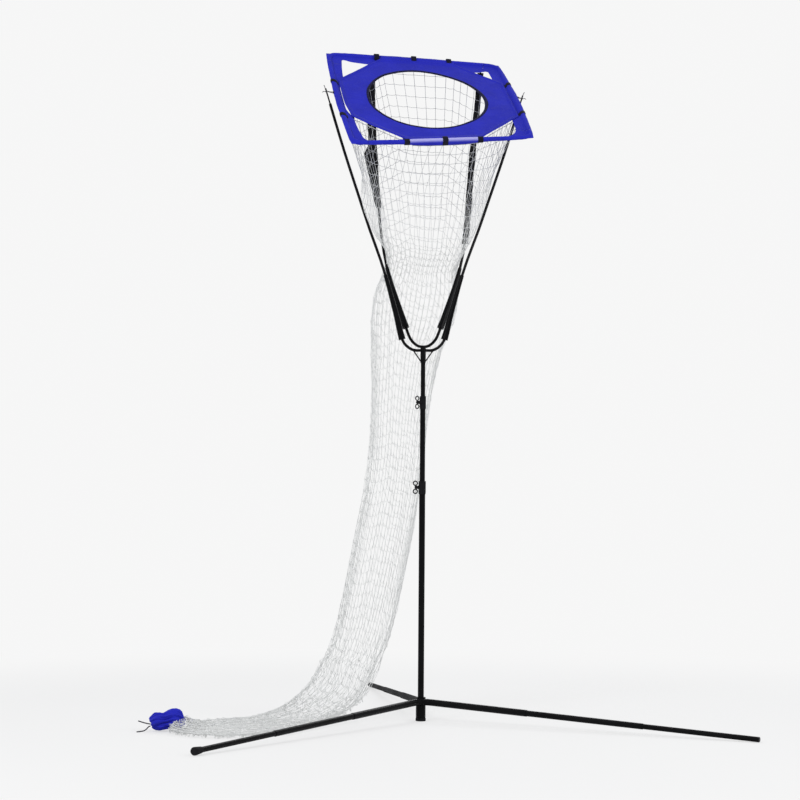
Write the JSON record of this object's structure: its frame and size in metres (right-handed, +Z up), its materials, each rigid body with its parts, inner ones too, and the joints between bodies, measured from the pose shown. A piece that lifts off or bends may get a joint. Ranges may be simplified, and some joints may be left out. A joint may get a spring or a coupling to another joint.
{
  "type": "volleyball practice net",
  "caption": "Tilted square target frame with a round hole on a telescoping tripod stand, with a net funnel and chute that return the ball to floor level.",
  "frame": {"origin": "middle of the underside of the rubber foot below the mast, on the floor", "axes": "+Z up along the mast; -Y towards the player, whom the low edge of the target faces; the chute runs off along -X"},
  "size_m": [2.2313, 2.4299, 2.5899],
  "materials": {
    "black_paint": "gloss black powder coat over steel tube",
    "black_rubber": "matt black rubber",
    "black_plastic": "satin black moulded plastic",
    "rod_black": "smooth black fibreglass rod",
    "blue_fabric": "plain woven royal-blue fabric with stitched seams",
    "black_webbing": "black woven webbing",
    "white_net": "knotted white cord mesh",
    "dark_cord": "braided dark cord"
  },
  "bodies": {
    "base": {"base_hub": "black_paint", "left_foot_cap": "black_rubber", "left_leg_middle": "black_paint", "left_leg_outer": "black_paint", "lower_clamp_collar": "black_plastic", "lower_mast_tube": "black_paint", "post_foot": "black_rubber", "rear_leg_middle": "black_paint", "rear_leg_outer": "black_paint", "right_leg_middle": "black_paint", "right_leg_outer": "black_paint"},
    "lower_bolt": {"lower_wing_bolt": "black_plastic"},
    "middle_mast": {"middle_mast_tube": "black_paint", "upper_clamp_collar": "black_plastic"},
    "upper_bolt": {"upper_wing_bolt": "black_plastic"},
    "head": {"chute_foot_net": "white_net", "chute_net_front": "white_net", "chute_net_left": "white_net", "chute_net_rear": "white_net", "chute_net_right": "white_net", "drawstring_front": "dark_cord", "drawstring_rear": "dark_cord", "end_sleeve": "blue_fabric", "fork_head": "black_paint", "frame_sleeve_front": "blue_fabric", "frame_sleeve_left": "blue_fabric", "frame_sleeve_rear": "blue_fabric", "frame_sleeve_right": "blue_fabric", "frame_tube_front": "black_plastic", "frame_tube_left": "black_plastic", "frame_tube_rear": "black_plastic", "frame_tube_right": "black_plastic", "funnel_net_front": "white_net", "funnel_net_left": "white_net", "funnel_net_rear": "white_net", "funnel_net_right": "white_net", "pole_sleeve_left": "black_webbing", "pole_sleeve_right": "black_webbing", "rear_arm_left": "black_plastic", "rear_arm_right": "black_plastic", "rear_rod_left": "rod_black", "rear_rod_right": "rod_black", "side_arm_left": "black_plastic", "side_arm_right": "black_plastic", "side_rod_left": "rod_black", "side_rod_right": "rod_black", "side_tie_left": "dark_cord", "side_tie_right": "dark_cord", "strap_front_1": "black_webbing", "strap_front_2": "black_webbing", "strap_front_3": "black_webbing", "strap_left_1": "black_webbing", "strap_left_2": "black_webbing", "strap_rear_1": "black_webbing", "strap_rear_2": "black_webbing", "strap_rear_3": "black_webbing", "strap_right_1": "black_webbing", "strap_right_2": "black_webbing", "target_panel": "blue_fabric", "upper_mast_tube": "black_paint"}
  },
  "joints": [
    {"name": "middle_mast_slide", "type": "slide", "parent": "base", "child": "middle_mast", "axis": [0, 0, 1], "range_m": [-0.26, 0.45]},
    {"name": "head_slide", "type": "slide", "parent": "middle_mast", "child": "head", "axis": [0, 0, 1], "range_m": [-0.12, 0.45]},
    {"name": "lower_bolt_turn", "type": "hinge", "parent": "base", "child": "lower_bolt", "pos_m": [0, 0, 0.886], "axis": [-1, 0, 0], "range_deg": [0, 540]},
    {"name": "upper_bolt_turn", "type": "hinge", "parent": "middle_mast", "child": "upper_bolt", "pos_m": [0, 0, 1.209], "axis": [-0.8192, -0.5736, 0], "range_deg": [0, 540]}
  ]
}
